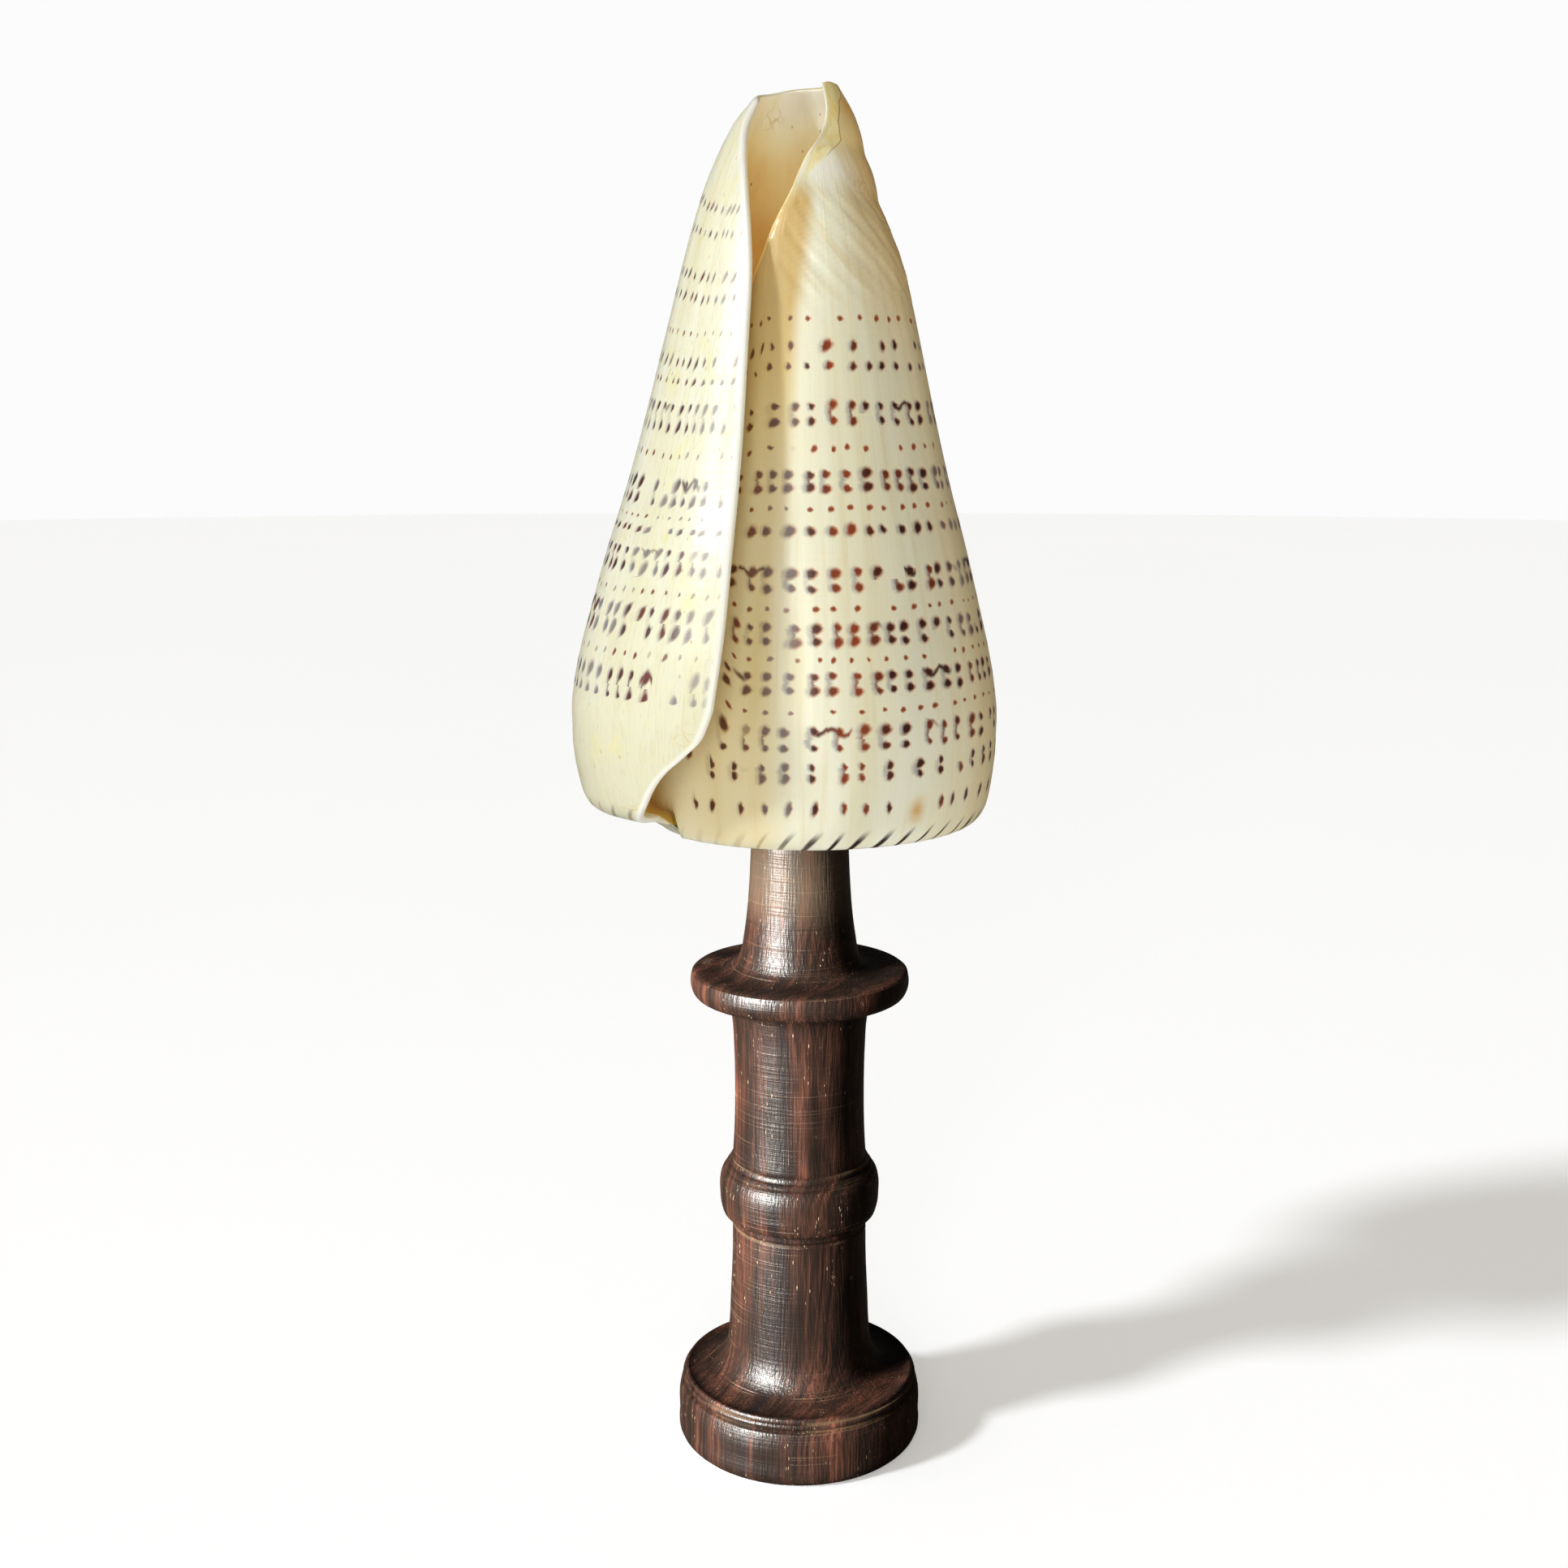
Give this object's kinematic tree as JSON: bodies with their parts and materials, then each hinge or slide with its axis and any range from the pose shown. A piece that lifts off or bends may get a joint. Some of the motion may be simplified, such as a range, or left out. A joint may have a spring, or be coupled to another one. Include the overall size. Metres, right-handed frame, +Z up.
{
  "type": "mounted cone shell",
  "caption": "Spotted cone-shaped sea shell with a long narrow aperture, standing spire down on a turned dark wood display stand.",
  "frame": {"origin": "centre of the stand's flat underside, on the ground", "axes": "+Z up along the stand's axis and the shell's coiling axis, -Y towards the side where the aperture is seen, +X to that view's right"},
  "size_m": [0.0775, 0.0791, 0.2504],
  "materials": {
    "shell": "satin",
    "stand": "satin"
  },
  "bodies": {
    "root": {"shell": "shell", "stand": "stand"}
  },
  "joints": []
}
